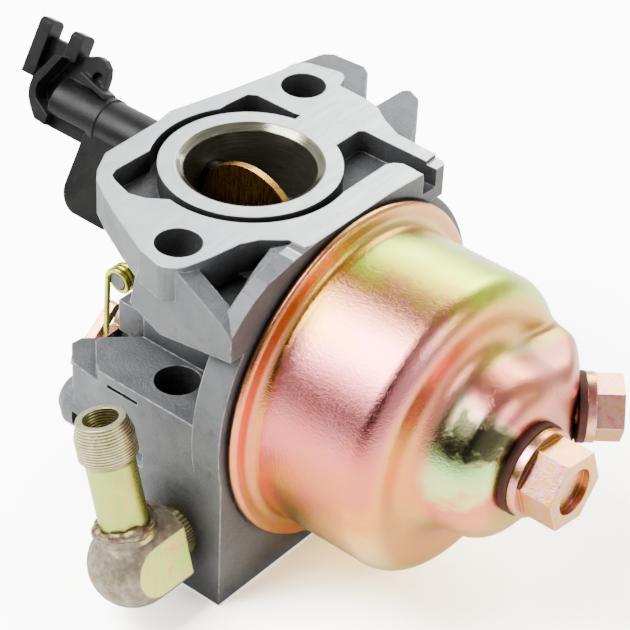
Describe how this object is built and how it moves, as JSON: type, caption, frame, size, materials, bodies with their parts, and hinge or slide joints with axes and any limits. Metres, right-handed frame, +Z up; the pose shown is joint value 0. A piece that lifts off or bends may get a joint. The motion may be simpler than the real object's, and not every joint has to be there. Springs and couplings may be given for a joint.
{
  "type": "float-bowl carburettor",
  "caption": "Small-engine float-bowl carburettor with choke and throttle plates on turning shafts, a stepped sheet-metal bowl and a barbed fuel elbow.",
  "frame": {"origin": "where the throat axis crosses the float-bowl axis", "axes": "+Y along the throat from the air intake to the engine, +Z up the bowl axis towards the levers, +X to the right as seen from the intake"},
  "size_m": [0.0769, 0.0543, 0.1022],
  "materials": {
    "cast": "as-cast satin with machined faces",
    "bowl_zinc": "iridescent yellow-zinc plating",
    "bolt_zinc": "yellow-zinc plated steel",
    "elbow_zinc": "yellow-zinc plated steel",
    "gasket_rubber": "matte",
    "fibre": "matte red-brown fibre",
    "plastic": "satin moulded plastic",
    "brass": "machined",
    "steel": "turned steel",
    "spring_steel": "drawn wire"
  },
  "bodies": {
    "casing": {"body": "cast", "bowl": "bowl_zinc", "bowl_gasket": "gasket_rubber", "bowl_bolt": "bolt_zinc", "bowl_bolt_washer": "fibre", "drain_bolt": "bolt_zinc", "drain_bolt_washer": "fibre", "drain_weld_nut": "steel", "throttle_shaft_seal": "gasket_rubber", "throttle_spring": "spring_steel", "idle_stop_spring": "spring_steel", "idle_mixture_spring": "spring_steel", "pilot_jet": "plastic", "main_nozzle": "brass", "main_jet": "brass", "float_hinge_pin": "steel", "needle_seat": "brass", "fuel_elbow": "elbow_zinc", "passage_plugs": "steel"},
    "choke": {"choke_lever": "plastic", "choke_plate": "brass"},
    "throttle": {"throttle_shaft": "steel", "throttle_plate": "brass", "throttle_plate_screws": "brass", "throttle_lever": "bolt_zinc", "throttle_shaft_clip": "steel"},
    "idle_stop_screw": {"idle_stop_screw": "steel"},
    "idle_mixture_screw": {"idle_mixture_screw": "brass"},
    "float": {"float": "plastic"},
    "needle": {"inlet_needle": "steel", "needle_clip": "spring_steel"}
  },
  "joints": [
    {"name": "choke_turn", "type": "hinge", "parent": "casing", "child": "choke", "pos_m": [0.0022, -0.0175, 0], "axis": [0, 0, 1], "range_deg": [0, 80]},
    {"name": "throttle_turn", "type": "hinge", "parent": "casing", "child": "throttle", "pos_m": [0, 0.013, 0], "axis": [0, 0, -1], "range_deg": [0, 75], "deforming": ["throttle_spring"]},
    {"name": "idle_stop_turn", "type": "hinge", "parent": "casing", "child": "idle_stop_screw", "pos_m": [0.0086, -0.007, 0.0214], "axis": [0, 1, 0], "range_deg": [-720, 720]},
    {"name": "mixture_turn", "type": "hinge", "parent": "casing", "child": "idle_mixture_screw", "pos_m": [0.0334, 0.017, -0.0026], "axis": [1, 0, 0], "range_deg": [-540, 540]},
    {"name": "float_pivot", "type": "hinge", "parent": "casing", "child": "float", "pos_m": [0, 0.0183, -0.0219], "axis": [1, 0, 0], "range_deg": [0, 5]},
    {"name": "needle_slide", "type": "slide", "parent": "casing", "child": "needle", "axis": [0, 0, -1], "range_m": [0, 0.00035]}
  ],
  "couplings": [
    {"joint": "needle_slide", "follows": "float_pivot", "m_per_rad": 0.004}
  ]
}
